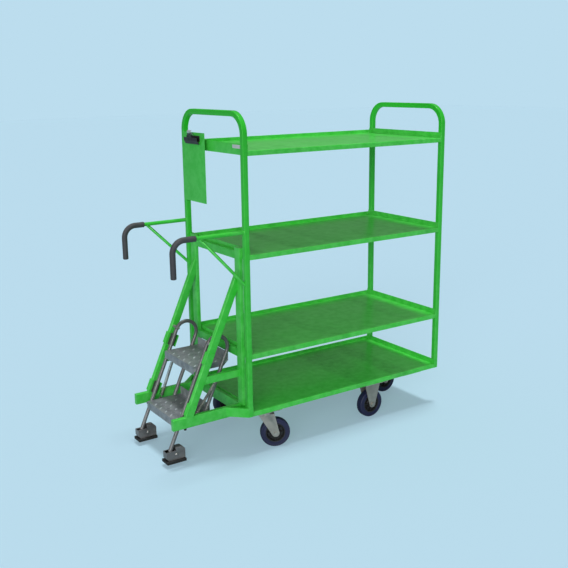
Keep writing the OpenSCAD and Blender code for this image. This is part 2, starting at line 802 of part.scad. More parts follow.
module clip_jaw_body() {
    translate([0, clip_mid + clip_w / 2, clip_z]) rotate([90, 0, 0]) linear_extrude(clip_w)
        intersection() {
            jaw_outline();
            translate([-30, -40]) square([40, 48]);
        }
    translate([0, clip_mid + lever_y, clip_z]) rotate([90, 0, 0])
        linear_extrude(2 * lever_y) jaw_outline();
    for (s = [-1, 1]) difference() {
        translate([-20, clip_mid + s * lever_y - 0.75, clip_z - 6]) cube([10, 1.5, 12]);
        translate([-clip_x, 0, clip_z])
            across(clip_mid + s * lever_y - 2, clip_mid + s * lever_y + 2, 4 + 2 * run_gap);
    }
}

// Modules named for the nodes
module end_frame_left() placed() color(green) end_frame(post_s / 2);
module end_frame_right() placed() color(green) end_frame(frame_l - post_s / 2);
module shelf_bottom() placed() color(green) tray(tray_z[0]);
module shelf_lower() placed() color(green) tray(tray_z[1]);
module shelf_upper() placed() color(green) tray(tray_z[2]);
module shelf_top() placed() color(green) tray(tray_z[3]);
module shelf_stiffeners() placed() color(green)
    for (k = [1:3], f = [1, 2]) stiffener(frame_l * f / 3, tray_z[k]);
module castor_bearers() placed() color(green)
    for (x = [front_castor_x, mid_castor_x, rear_castor_x]) bearer(x);
module base_rails() placed() color(green) both() base_rail();
module corner_ties() placed() color(green) {
    both() {
        translate([0, 0, base_z]) corner_gusset();
        span([0, step_out, rail_z], [inner_t, y_side - post_s, rail_top]);
    }
    cross_tube(step_in, rail_z, rail_top);
    for (z = [tray_z[1], tray_z[2]]) {
        both() post_tie(z);
        cross_tube(inner_in, z - cross_drop, z - cross_drop + cross_h);
    }
}
module rail_buffers() placed() color(black) both() buffer();
module inner_posts() placed() color(green) both()
    translate([inner_t / 2, (inner_out + inner_in) / 2, rail_top])
        square_tube(inner_t, inner_w, tray_z[2] + fold + end_lip - rail_top);
module struts() placed() color(green) both() strut();
module side_braces() placed() color(green) both() side_brace();
module slide_guides() placed() color(green) both() {
    guide_channel(guide_up);
    guide_channel(-guide_down);
}
module guide_liners() placed() color(black) both() {
    liner(guide_up);
    liner(-guide_down);
}
module push_handles() placed() color(green) {
    scale([1, -1, 1]) push_handle(0, 0);
    push_handle(far_drop, far_short);
}
module handle_braces() placed() color(green) {
    scale([1, -1, 1]) handle_brace(0);
    handle_brace(far_drop);
}
module grip_near() placed() color(black) scale([1, -1, 1]) grip(0, 0);
module grip_far() placed() color(black) grip(far_drop, far_short);
module clipboard_plate() placed() color(green)
    span([-sheet_x, clip_mid - board_w / 2, board_top - board_h],
         [0, clip_mid + board_w / 2, board_top]);
module clip_base() placed() color(black) clip_leaf();
module clip_jaw() placed() color(black) clip_jaw_body();
module clip_pin() placed() color(zinc) translate([-clip_x, 0, clip_z])
    across(clip_mid - 23, clip_mid + 23, 4);
module clip_spring() placed() color(zinc)
    translate([-clip_x, clip_mid, clip_z]) rotate([90, 0, 0]) clip_coil();
module blank_plate() placed() color([0.85, 0.86, 0.86])
    translate([post_s - 1, -y_side + label_in, tray_z[3] + label_up]) cube([1, label_w, label_h]);

module swivel_plates() placed() color(zinc) for (c = [castors[0], castors[1], castors[4]])
    difference() {
        swivel_plate(c);
        plate_holes(c);
    }
module fixed_bracket_near() placed() color(zinc) fixed_bracket(castors[2]);
module fixed_bracket_far() placed() color(zinc) fixed_bracket(castors[3]);
module fixed_axles() placed() color(zinc) for (c = [castors[2], castors[3]]) axle(c);
module castor_bolts() placed() color(zinc) for (c = castors, i = [-1, 1], j = [-1, 1])
    castor_bolt(c[0] + i * hole_l / 2, c[1] + j * hole_w / 2);
module fork_at(c, turn = 0) translate([c[0], c[1], 0]) rotate([0, 0, turn]) fork();
module fork_near() placed() color(zinc) fork_at(castors[0], near_turn);
module fork_far() placed() color(zinc) fork_at(castors[1]);
module fork_rear() placed() color(zinc) fork_at(castors[4]);
module axle_near() placed() color(zinc) axle(castors[0], trail, near_turn);
module axle_far() placed() color(zinc) axle(castors[1], trail);
module axle_rear() placed() color(zinc) axle(castors[4], trail);
module wheel_near() placed() color(black) wheel(castors[0], trail, near_turn);
module wheel_far() placed() color(black) wheel(castors[1], trail);
module wheel_rear() placed() color(black) wheel(castors[4], trail);
module wheel_mid_near() placed() color(black) wheel(castors[2]);
module wheel_mid_far() placed() color(black) wheel(castors[3]);
module tyre_near() placed() color(tyre_blue) tyre(castors[0], trail, near_turn);
module tyre_far() placed() color(tyre_blue) tyre(castors[1], trail);
module tyre_rear() placed() color(tyre_blue) tyre(castors[4], trail);
module tyre_mid_near() placed() color(tyre_blue) tyre(castors[2]);
module tyre_mid_far() placed() color(tyre_blue) tyre(castors[3]);

module frame_spring_pins() placed() color(zinc) {
    scale([1, -1, 1]) spring_pin(spring_top_x, spring_top_z, step_in, spring_y - 6);
    spring_pin(far_top_x, spring_top_z, step_in, spring_y - 6);
}
module return_spring_near() placed() color(zinc)
    scale([1, -1, 1]) return_spring(spring_top_x, spring_low_x);
module return_spring_far() placed() color(zinc) return_spring(far_top_x, far_low_x);
module step_hoops() placed() color(grey) both() step_hoop();
module top_tread() placed() color(tread_grey) tread(top_tread_z);
module lower_tread() placed() color(tread_grey) tread(low_tread_z);
module stop_bolts() placed() color(zinc) both() stop_bolt();
module tread_spring_pins() placed() color(zinc) {
    scale([1, -1, 1]) spring_pin(spring_low_x, spring_low_z, tread_half, spring_y + 6);
    spring_pin(far_low_x, spring_low_z, tread_half, spring_y + 6);
}
module foot_bolts() placed() color(zinc) both() foot_bolt();
module foot_bracket_near() placed() color(grey) scale([1, -1, 1]) foot_bracket();
module foot_bracket_far() placed() color(grey) foot_bracket();
module foot_pad_near() placed() color(black) scale([1, -1, 1]) foot_pad();
module foot_pad_far() placed() color(black) foot_pad();

end_frame_left();
end_frame_right();
shelf_bottom();
shelf_lower();
shelf_upper();
shelf_top();
shelf_stiffeners();
castor_bearers();
base_rails();
corner_ties();
rail_buffers();
inner_posts();
struts();
side_braces();
slide_guides();
guide_liners();
push_handles();
handle_braces();
grip_near();
grip_far();
clipboard_plate();
clip_base();
clip_jaw();
clip_pin();
clip_spring();
blank_plate();
swivel_plates();
fixed_bracket_near();
fixed_bracket_far();
fixed_axles();
castor_bolts();
fork_near();
fork_far();
fork_rear();
axle_near();
axle_far();
axle_rear();
wheel_near();
wheel_far();
wheel_rear();
wheel_mid_near();
wheel_mid_far();
tyre_near();
tyre_far();
tyre_rear();
tyre_mid_near();
tyre_mid_far();
frame_spring_pins();
return_spring_near();
return_spring_far();
step_hoops();
top_tread();
lower_tread();
stop_bolts();
tread_spring_pins();
foot_bolts();
foot_bracket_near();
foot_bracket_far();
foot_pad_near();
foot_pad_far();
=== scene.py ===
"""Order picking trolley in green paint, with a grey step unit, black grips and blue tyres.

Lengths are in metres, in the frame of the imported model: +X runs from the step end to the plain end,
+Y to the clipboard side, +Z up, and the floor is at zero.
"""
import json
import math

import bmesh
import bpy
import numpy as np
from mathutils import Matrix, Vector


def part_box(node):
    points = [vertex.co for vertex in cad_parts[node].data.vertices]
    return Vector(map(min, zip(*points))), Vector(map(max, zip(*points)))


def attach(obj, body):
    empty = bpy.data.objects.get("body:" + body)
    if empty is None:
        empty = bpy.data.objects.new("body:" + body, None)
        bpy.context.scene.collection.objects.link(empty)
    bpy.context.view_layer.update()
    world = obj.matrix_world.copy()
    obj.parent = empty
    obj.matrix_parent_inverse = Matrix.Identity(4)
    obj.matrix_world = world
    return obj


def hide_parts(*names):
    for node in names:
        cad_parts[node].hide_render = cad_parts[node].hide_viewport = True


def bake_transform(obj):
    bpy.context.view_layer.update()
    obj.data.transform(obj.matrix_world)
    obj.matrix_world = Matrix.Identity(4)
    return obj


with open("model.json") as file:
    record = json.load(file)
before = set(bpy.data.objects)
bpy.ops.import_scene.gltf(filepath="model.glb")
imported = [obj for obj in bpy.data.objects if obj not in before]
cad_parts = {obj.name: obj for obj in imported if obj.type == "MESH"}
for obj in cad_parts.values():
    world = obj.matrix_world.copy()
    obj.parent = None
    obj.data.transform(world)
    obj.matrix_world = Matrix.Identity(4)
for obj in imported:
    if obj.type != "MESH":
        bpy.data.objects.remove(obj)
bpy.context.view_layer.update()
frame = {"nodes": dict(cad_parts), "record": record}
MM = 0.001
X_AXIS, Y_AXIS, Z_AXIS = np.eye(3)

# Places that the frame gives


def corners(node):
    """Lowest and highest corner of a node at rest."""
    low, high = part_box(node)
    return np.array(low), np.array(high)


def centre(node):
    """Middle of a node's box at rest."""
    low, high = corners(node)
    return (low + high) / 2


STEP_END = corners("end_frame_left")[0]
PLAIN_END = corners("end_frame_right")[1]
POST = corners("end_frame_left")[1][0] - STEP_END[0]
SIDE_Y = PLAIN_END[1]
POST_Y = SIDE_Y - POST / 2
TOP_Z = PLAIN_END[2]
TRAY_NODES = ("shelf_bottom", "shelf_lower", "shelf_upper", "shelf_top")

# Sizes within the pieces, in step with the solids
HOOP_BEND = 100 * MM
WALL = 1.5 * MM
FOLD = 25 * MM
SIDE_LIP = 20 * MM
STEP_TUBE = 25 * MM
STRUT_DEPTH = 40 * MM
INNER_WIDTH = 51 * MM
STRUT_X = 243 * MM
LEG_R = 10 * MM
LEG_X = 249.5 * MM
ARCH_R = 62.5 * MM
ARCH_UP = 237 * MM
TREAD_LIP = 42 * MM
TREAD_FLANGE = 28 * MM
TUBE_R = 10 * MM
GRIP_R = 14.5 * MM
HANDLE_BEND = 62 * MM
LEAN = math.radians(24.2)
SLOPE = np.array([math.sin(LEAN), 0, math.cos(LEAN)])
OFF_SLOPE = np.array([math.cos(LEAN), 0, -math.sin(LEAN)])
SLOPE_Z = 384 * MM

# Roundings of sheet and tube, and the points about a round tube
SHEET_BEND = 4 * MM
SHEET_EDGE = 0.7 * MM
TUBE_EDGE = 4 * MM
INNER_EDGE = 3 * MM
ROUND_STEPS = 28


# Shapes worked out as arrays


def unit(v):
    """Vectors at length one."""
    v = np.asarray(v, float)
    return v / np.linalg.norm(v, axis=-1, keepdims=True)


def rounded_outline(width, height, radius, steps=5):
    """Rectangle about the origin whose corners are quarter circles, as points in order."""
    turn = np.linspace(0, math.pi / 2, steps + 1)
    quarter = np.stack([np.cos(turn), np.sin(turn)], 1) * radius
    outline = []
    for k, (sx, sy) in enumerate(((1, 1), (-1, 1), (-1, -1), (1, -1))):
        c, s = math.cos(k * math.pi / 2), math.sin(k * math.pi / 2)
        turned = quarter @ np.array([[c, s], [-s, c]])
        outline.append(turned + [sx * (width / 2 - radius), sy * (height / 2 - radius)])
    return np.concatenate(outline)


def circle_outline(radius, steps):
    """Circle about the origin: radius times (cos a, sin a)."""
    a = np.arange(steps) * 2 * math.pi / steps
    return radius * np.stack([np.cos(a), np.sin(a)], 1)


def bent_path(points, radius, steps):
    """Polyline with each inner corner replaced by an arc that touches both runs.

    A point of the arc is its hub + (sin((1 - t) turn) start + sin(t turn) end) / sin(turn), t from 0 to 1.
    """
    points = np.asarray(points, float)
    runs = [points[:1]]
    for before, corner, after in zip(points[:-2], points[1:-1], points[2:]):
        a, b = unit(before - corner), unit(after - corner)
        half = math.acos(float(np.clip(a @ b, -1, 1))) / 2
        hub = corner + unit(a + b) * radius / math.sin(half)
        start = corner + a * radius / math.tan(half) - hub
        end = corner + b * radius / math.tan(half) - hub
        turn = math.pi - 2 * half
        t = np.linspace(0, 1, steps + 1)[:, None]
        runs.append(hub + (np.sin((1 - t) * turn) * start + np.sin(t * turn) * end) / math.sin(turn))
    runs.append(points[-1:])
    return np.concatenate(runs)


def grid_faces(rows, columns, wrap_rows=False):
    """Quads of a grid whose columns close on themselves, and its rows too if asked."""
    i = np.arange(rows if wrap_rows else rows - 1)[:, None]
    j = np.arange(columns)[None, :]
    k = (j + 1) % columns
    n = (i + 1) % rows
    quads = np.stack([i * columns + j, n * columns + j, n * columns + k, i * columns + k], -1)
    return quads.reshape(-1, 4).tolist()


def skin(grid, wrap=False):
    """Closed skin over a grid of points: rings joined by quads, with a face over each end ring."""
    rows, columns = grid.shape[:2]
    faces = grid_faces(rows, columns, wrap)
    if not wrap:
        faces.append(list(range(columns)))
        faces.append([(rows - 1) * columns + j for j in range(columns)])
    return grid.reshape(-1, 3), faces


def swept(path, outline, side):
    """Outline carried along a path: its first axis lies on side, its second square to side and path.

    At each point the tangent halves the turn between the two runs, which gives true mitres.
    """
    runs = unit(np.diff(path, axis=0))
    tangent = unit(np.concatenate([runs[:1], runs[:-1] + runs[1:], runs[-1:]]))
    across = unit(np.cross(tangent, side))
    along = unit(np.cross(across, tangent))
    grid = path[:, None] + outline[None, :, :1] * along[:, None] + outline[None, :, 1:] * across[:, None]
    return skin(grid)


def beam(outline, origin, u, v, along, start, end):
    """Prism between two cutting planes: each outline point slides along the run to either plane.

    A plane is a (point, normal) pair, and the outline lies on u and v through the origin.
    """
    base = origin + outline[:, :1] * u + outline[:, 1:] * v
    rings = [base + ((np.asarray(p) - base) @ n / (along @ n))[:, None] * along for p, n in (start, end)]
    return skin(np.stack(rings))


def bar(low, high, axis, radius):
    """Straight bar of rounded section between two corners of its box, along one axis."""
    low, high = np.asarray(low, float), np.asarray(high, float)
    others = [k for k in range(3) if k != axis]
    size = high - low
    outline = rounded_outline(size[others[0]], size[others[1]], min(radius, size[others].min() * 0.45))
    mid = (low + high) / 2
    grid = np.empty((2, len(outline), 3))
    grid[:, :, others] = outline + mid[others]
    grid[0, :, axis], grid[1, :, axis] = low[axis], high[axis]
    return skin(grid)


def turned(profile, middle, axis, steps):
    """Closed ring of revolution: each (radius, offset) of the profile turned about the axis."""
    profile = np.asarray(profile, float)
    u = Z_AXIS if abs(axis[2]) < 0.5 else X_AXIS
    v = np.cross(axis, u)
    a = np.arange(steps) * 2 * math.pi / steps
    spoke = np.cos(a)[:, None] * u + np.sin(a)[:, None] * v
    grid = middle + profile[None, :, :1] * spoke[:, None] + profile[None, :, 1:] * axis
    return skin(grid, wrap=True)


def mirrored(part):
    """The same part on the other side of the middle plane."""
    points, faces = part
    return points * [1, -1, 1], faces


# Pieces from shapes


def add_piece(name, parts, material, body, stands_for=(), sharp=32, outward=True):
    """One object from several (points, faces) parts, with its faces turned outwards unless they are open."""
    mesh = bpy.data.meshes.new(name)
    points, faces, count = [], [], 0
    for part_points, part_faces in parts:
        points.append(part_points)
        faces.extend([[index + count for index in face] for face in part_faces])
        count += len(part_points)
    mesh.from_pydata(np.concatenate(points), [], faces)
    return place_mesh(name, mesh, material, body, stands_for, sharp, outward=outward)


def place_mesh(name, mesh, material, body, stands_for=(), sharp=32, bevel=0.0, outward=True):
    """Link a mesh as a piece of a body, or of none, smooth up to the sharp angle."""
    shape = bmesh.new()
    shape.from_mesh(mesh)
    if outward:
        bmesh.ops.recalc_face_normals(shape, faces=shape.faces)
    shape.to_mesh(mesh)
    shape.free()
    mesh.shade_smooth()
    mesh.set_sharp_from_angle(angle=math.radians(sharp))
    piece = bpy.data.objects.new(name, mesh)
    bpy.context.collection.objects.link(piece)
    if bevel:
        rounding = piece.modifiers.new("rounded edges", "BEVEL")
        rounding.width = bevel
        rounding.segments = 2
        rounding.angle_limit = math.radians(40)
        rounding.harden_normals = True
    mesh.materials.append(material)
    if body:
        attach(piece, body)
    if stands_for:
        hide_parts(*stands_for)
    return piece


BODY_OF = {node: body for body, nodes in frame["record"]["behaviour"]["bodies"].items() for node in nodes}


def rounded_copy(node, material, bevel):
    """The node's own shape with its edges rounded, in place of the sharp solid."""
    source = frame["nodes"][node]
    mesh = source.data.copy()
    shape = bmesh.new()
    shape.from_mesh(mesh)
    bmesh.ops.remove_doubles(shape, verts=shape.verts, dist=1e-6)
    bmesh.ops.dissolve_limit(shape, angle_limit=math.radians(1), verts=shape.verts, edges=shape.edges)
    shape.to_mesh(mesh)
    shape.free()
    mesh.materials.clear()
    return place_mesh("formed_" + node, mesh, material, BODY_OF[node], (node,), bevel=bevel)


# Node groups that materials share


def new_group(name, inputs, outputs):
    """Empty shader group with its sockets, as (group, input node, output node)."""
    group = bpy.data.node_groups.new(name, "ShaderNodeTree")
    for label, kind, default in inputs:
        socket = group.interface.new_socket(label, in_out="INPUT", socket_type=kind)
        socket.default_value = default
    for label, kind in outputs:
        group.interface.new_socket(label, in_out="OUTPUT", socket_type=kind)
    return group, group.nodes.new("NodeGroupInput"), group.nodes.new("NodeGroupOutput")


def link(tree, source, target):
    """Join two sockets."""
    tree.links.new(source, target)


def noise(tree, scale_socket, scale, detail):
    """Noise texture on Object coordinates, whose scale a socket may give."""
    place = tree.nodes.new("ShaderNodeTexCoord")
    texture = tree.nodes.new("ShaderNodeTexNoise")
    texture.inputs["Scale"].default_value = scale
    texture.inputs["Detail"].default_value = detail
    texture.inputs["Roughness"].default_value = 0.55
    link(tree, place.outputs["Object"], texture.inputs["Vector"])
    if scale_socket is not None:
        link(tree, scale_socket, texture.inputs["Scale"])
    return texture.outputs["Fac"]


def remap(tree, value, low, high, to_low=0.0, to_high=1.0):
    """Straight map of one range to another, clamped."""
    node = tree.nodes.new("ShaderNodeMapRange")
    for socket, number in zip(("From Min", "From Max", "To Min", "To Max"), (low, high, to_low, to_high)):
        node.inputs[socket].default_value = number
    link(tree, value, node.inputs["Value"])
    return node.outputs["Result"]


def maths(tree, operation, a, b):
    """Math node on two sockets or numbers."""
    node = tree.nodes.new("ShaderNodeMath")
    node.operation = operation
    for socket, value in zip(node.inputs, (a, b)):
        if isinstance(value, (int, float)):
            socket.default_value = value
        else:
            link(tree, value, socket)
    return node.outputs[0]


def mix_colours(tree, factor, a, b):
    """Colour between a and b, each a socket or a colour."""
    node = tree.nodes.new("ShaderNodeMix")
    node.data_type = "RGBA"
    link(tree, factor, node.inputs["Factor"])
    for socket, value in zip((node.inputs[6], node.inputs[7]), (a, b)):
        if isinstance(value, tuple):
            socket.default_value = (*value, 1)
        else:
            link(tree, value, socket)
    return node.outputs[2]


def make_weathering():
    """Group: soft clouds of tone, fine grain and rubbed edges, as masks from 0 to 1.

    Clouds are wide noise, grain is fine noise, and edges come from the pointiness of the mesh.
    """
    group, inside, outside = new_group(
        "weathering",
        (("Cloud Scale", "NodeSocketFloat", 3.0), ("Grain Scale", "NodeSocketFloat", 400.0),
         ("Edge Amount", "NodeSocketFloat", 0.5)),
        (("Clouds", "NodeSocketFloat"), ("Grain", "NodeSocketFloat"), ("Edges", "NodeSocketFloat")))
    clouds = remap(group, noise(group, inside.outputs["Cloud Scale"], 3, 5), 0.35, 0.68)
    grain = noise(group, inside.outputs["Grain Scale"], 400, 3)
    shape = group.nodes.new("ShaderNodeNewGeometry")
    raised = remap(group, shape.outputs["Pointiness"], 0.52, 0.60)
    patchy = remap(group, noise(group, None, 25, 3), 0.36, 0.62, 0.4, 1.0)
    edges = maths(group, "MULTIPLY", maths(group, "MULTIPLY", raised, patchy), inside.outputs["Edge Amount"])
    link(group, clouds, outside.inputs["Clouds"])
    link(group, grain, outside.inputs["Grain"])
    link(group, edges, outside.inputs["Edges"])
    return group


WEATHERING = make_weathering()


def weathered(tree, cloud_scale, grain_scale, edge_amount):
    """The weathering group placed in a material with its own values."""
    node = tree.nodes.new("ShaderNodeGroup")
    node.node_tree = WEATHERING
    node.inputs["Cloud Scale"].default_value = cloud_scale
    node.inputs["Grain Scale"].default_value = grain_scale
    node.inputs["Edge Amount"].default_value = edge_amount
    return node.outputs["Clouds"], node.outputs["Grain"], node.outputs["Edges"]


def bump(tree, height, distance, strength=1.0, normal=None):
    """Bump node of a height in metres."""
    node = tree.nodes.new("ShaderNodeBump")
    node.inputs["Strength"].default_value = strength
    node.inputs["Distance"].default_value = distance
    link(tree, height, node.inputs["Height"])
    if normal is not None:
        link(tree, normal, node.inputs["Normal"])
    return node.outputs["Normal"]


def new_material(name, colour, roughness, metallic=0.0, **plain):
    """Material with one Principled shader, as (material, tree, shader)."""
    material = bpy.data.materials.new(name)
    material.use_nodes = True
    tree = material.node_tree
    shader = tree.nodes["Principled BSDF"]
    shader.inputs["Base Color"].default_value = (*colour, 1)
    shader.inputs["Roughness"].default_value = roughness
    shader.inputs["Metallic"].default_value = metallic
    for label, value in plain.items():
        shader.inputs[label.replace("_", " ")].default_value = value
    material.diffuse_color = (*colour, 1)
    return material, tree, shader


COAT = {"Coat_Weight": 0.25, "Coat_Roughness": 0.2}
PEEL_DEPTH = 0.00006
PEEL_SCALE = 260.0


def painted(name, colour, deep, worn, roughness, shine, wave, edge, cloud=3.0):
    """Sprayed paint: two tones in clouds, worn edges, orange peel and slow waves of the sheet."""
    material, tree, shader = new_material(name, colour, roughness, Specular_IOR_Level=shine, **COAT)
    clouds, grain, edges = weathered(tree, cloud, PEEL_SCALE, edge)
    tone = mix_colours(tree, clouds, deep, colour)
    link(tree, mix_colours(tree, edges, tone, worn), shader.inputs["Base Color"])
    link(tree, remap(tree, clouds, 0, 1, roughness + 0.06, roughness), shader.inputs["Roughness"])
    slow = bump(tree, noise(tree, None, 5.0, 1.5), wave)
    link(tree, bump(tree, grain, PEEL_DEPTH, 0.5, slow), shader.inputs["Normal"])
    return material


def reflection_bands(tree):
    """Bands of painted reflection that lie across a tray, from 0 to 1: noise whose steps are short along X
    and long along Y.
    """
    place = tree.nodes.new("ShaderNodeTexCoord")
    stretch = tree.nodes.new("ShaderNodeMapping")
    stretch.inputs["Scale"].default_value = (5.5, 0.6, 2.0)
    link(tree, place.outputs["Object"], stretch.inputs["Vector"])
    texture = tree.nodes.new("ShaderNodeTexNoise")
    texture.inputs["Scale"].default_value = 1.0
    texture.inputs["Detail"].default_value = 1.5
    link(tree, stretch.outputs["Vector"], texture.inputs["Vector"])
    return remap(tree, texture.outputs["Fac"], 0.50, 0.68)


def tray_paint(name, colour, deep, reflection_shade, worn):
    """Tray paint: cloudy green under dull, darker bands of painted reflection, rubbed edges and a slightly
    wavy sheet.
    """
    material, tree, shader = new_material(name, colour, 0.34, Specular_IOR_Level=0.26, **COAT)
    clouds, grain, edges = weathered(tree, 3.0, PEEL_SCALE, 0.5)
    reflection_mask = reflection_bands(tree)
    tone = mix_colours(tree, clouds, deep, colour)
    # The darker colour in the bands is a painted reflection of the stiffeners under the tray above; the same
    # bands also vary the roughness.
    share = maths(tree, "MULTIPLY", reflection_mask, 0.60)
    with_reflection = mix_colours(tree, share, tone, reflection_shade)
    link(tree, mix_colours(tree, edges, with_reflection, worn), shader.inputs["Base Color"])
    link(tree, remap(tree, reflection_mask, 0, 1, 0.31, 0.40), shader.inputs["Roughness"])
    slow = bump(tree, noise(tree, None, 4.0, 1.0), 0.0005)
    link(tree, bump(tree, grain, PEEL_DEPTH, 0.5, slow), shader.inputs["Normal"])
    return material


def zinc_plate(name, colour, dull, roughness):
    """Plated steel: bright and dull clouds, bare worn edges, and fine directionless grain."""
    bare = (0.75, 0.74, 0.70)
    material, tree, shader = new_material(name, colour, roughness, 0.75)
    clouds, grain, edges = weathered(tree, 22.0, 900.0, 0.6)
    tone = mix_colours(tree, clouds, dull, colour)
    link(tree, mix_colours(tree, edges, tone, bare), shader.inputs["Base Color"])
    link(tree, remap(tree, grain, 0.3, 0.7, roughness - 0.08, roughness + 0.12), shader.inputs["Roughness"])
    link(tree, bump(tree, grain, 0.00005, 0.4), shader.inputs["Normal"])
    return material


def moulded(name, colour, dusty, roughness, grain_scale, depth, dust):
    """Rubber or plastic: fine moulded grain under a thin, uneven film of dust."""
    material, tree, shader = new_material(name, colour, roughness)
    clouds, grain, edges = weathered(tree, 9.0, grain_scale, dust)
    film = maths(tree, "MULTIPLY", clouds, dust)
    tone = mix_colours(tree, film, colour, dusty)
    link(tree, mix_colours(tree, edges, tone, dusty), shader.inputs["Base Color"])
    link(tree, remap(tree, clouds, 0, 1, roughness - 0.06, roughness + 0.1), shader.inputs["Roughness"])
    link(tree, bump(tree, grain, depth, 0.7), shader.inputs["Normal"])
    return material


GREEN = painted(
    "green paint", colour=(0.028, 0.58, 0.030), deep=(0.024, 0.52, 0.026), worn=(0.16, 0.80, 0.17),
    roughness=0.34, shine=0.24, wave=0.0003, edge=0.6)
# The darkest of the tray colours is a painted reflection, laid in bands across each tray.
TRAY_GREEN = tray_paint(
    "green tray paint", colour=(0.036, 0.64, 0.038), deep=(0.030, 0.57, 0.032), reflection_shade=(0.020, 0.33, 0.022),
    worn=(0.17, 0.82, 0.18))
GREY = painted(
    "grey paint", colour=(0.115, 0.117, 0.120), deep=(0.080, 0.081, 0.083), worn=(0.36, 0.36, 0.36),
    roughness=0.28, shine=0.7, wave=0.0003, edge=0.6, cloud=12.0)
TREAD = painted(
    "tread paint", colour=(0.165, 0.188, 0.208), deep=(0.098, 0.111, 0.124), worn=(0.40, 0.43, 0.45),
    roughness=0.36, shine=0.6, wave=0.0003, edge=0.8, cloud=20.0)
# The light colour of these marks is a painted highlight, the glint of the raised marks of one direction.
GLINT_MARKS = painted(
    "tread marks with painted glint", colour=(0.52, 0.58, 0.62), deep=(0.36, 0.41, 0.44), worn=(0.60, 0.63, 0.64),
    roughness=0.32, shine=0.5, wave=0.0001, edge=0.3, cloud=20.0)
ZINC = zinc_plate("zinc plate", colour=(0.48, 0.455, 0.40), dull=(0.35, 0.33, 0.29), roughness=0.45)
STEEL = zinc_plate("dull steel", colour=(0.34, 0.335, 0.32), dull=(0.20, 0.195, 0.185), roughness=0.38)
CLIP_STEEL = zinc_plate(
    "bright clip steel", colour=(0.90, 0.90, 0.88), dull=(0.70, 0.70, 0.68), roughness=0.30)
GRIP = moulded(
    "grip rubber", colour=(0.042, 0.042, 0.046), dusty=(0.14, 0.14, 0.15), roughness=0.62,
    grain_scale=700.0, depth=0.00025, dust=0.35)
PAD = moulded(
    "pad rubber", colour=(0.012, 0.012, 0.012), dusty=(0.06, 0.06, 0.06), roughness=0.75,
    grain_scale=500.0, depth=0.0002, dust=0.2)
TYRE = moulded(
    "blue tyre rubber", colour=(0.012, 0.015, 0.058), dusty=(0.045, 0.05, 0.11), roughness=0.55,
    grain_scale=420.0, depth=0.00015, dust=0.2)
HUB = moulded(
    "black wheel centre", colour=(0.012, 0.012, 0.013), dusty=(0.05, 0.048, 0.046), roughness=0.45,
    grain_scale=800.0, depth=0.0001, dust=0.2)
SPRING = zinc_plate("dull spring wire", colour=(0.26, 0.245, 0.22), dull=(0.10, 0.095, 0.085), roughness=0.5)
NYLON = moulded(
    "black nylon", colour=(0.02, 0.02, 0.021), dusty=(0.09, 0.09, 0.09), roughness=0.45,
    grain_scale=600.0, depth=0.0001, dust=0.3)
LABEL = moulded(
    "plain label", colour=(0.66, 0.69, 0.68), dusty=(0.50, 0.53, 0.52), roughness=0.3,
    grain_scale=900.0, depth=0.00002, dust=0.4)


# Green frame


def end_hoop(node):
    """Square tube with soft edges, up one side, over two bends and down the other."""
    low, high = corners(node)
    x = (low[0] + high[0]) / 2
    crown = TOP_Z - POST / 2
    route = [(x, -POST_Y, low[2]), (x, -POST_Y, crown), (x, POST_Y, crown), (x, POST_Y, low[2])]
    path = bent_path(route, HOOP_BEND, 20)
    tube = swept(path, rounded_outline(POST, POST, TUBE_EDGE, 6), X_AXIS)
    add_piece("hoop_" + node.removeprefix("end_frame_"), [tube], GREEN, "frame", (node,), sharp=25)


def fillet(axis, start, end, corner, signs, radius):
    """Weld or bend run in an inside corner: a bar whose third face is hollow.

    That face lies at (radius (1 - sin a), radius (1 - cos a)) from the corner, for a over a quarter turn.
    """
    a = np.linspace(0, math.pi / 2, 6)
    hollow = np.stack([radius * (1 - np.sin(a)), radius * (1 - np.cos(a))], 1)
    outline = np.concatenate([[[0, 0]], hollow]) * signs
    others = [k for k in range(3) if k != axis]
    grid = np.empty((2, len(outline), 3))
    grid[:, :, others] = outline + np.asarray(corner)[others]
    grid[0, :, axis], grid[1, :, axis] = start, end
    return skin(grid)


def weld_tack(x, lip_y, z):
    """Small lump of weld where a tray meets its far lip: a ball drawn out along X, just inside the lip.

    The ball is (9 cos a sin b, 5 sin a sin b, 5 cos b) mm about its middle.
    """
    a = np.arange(16) * math.pi / 8
    b = np.linspace(0.12, math.pi - 0.12, 9)[:, None]
    ball = np.stack([9 * np.cos(a) * np.sin(b), 5 * np.sin(a) * np.sin(b), 5 * np.cos(b) + 0 * a], 2)
    middle = np.array([x, lip_y - 4 * MM, z])
    return skin(middle + ball * MM)


def tray_floor(low, high, top):
    """Sheet of a tray: flat floor whose near edge is rolled down in a quarter circle to the fold's end."""
    a = np.linspace(0, math.pi / 2, 7)
    roll = np.stack([-np.sin(a), np.cos(a)], 1)
    hinge = np.array([low[1] + SHEET_BEND, top - SHEET_BEND])
    outer = np.concatenate([[[high[1] - WALL, top]], hinge + SHEET_BEND * roll, [[low[1], low[2]]]])
    inner = np.concatenate([[[low[1] + WALL, low[2]]], (hinge + (SHEET_BEND - WALL) * roll)[::-1],
                            [[high[1] - WALL, top - WALL]]])
    outline = np.concatenate([outer, inner])
    x = np.array([low[0] + WALL, high[0] - WALL])
    grid = np.empty((2, len(outline), 3))
    grid[:, :, 0] = x[:, None]
    grid[:, :, 1:] = outline
    return skin(grid)


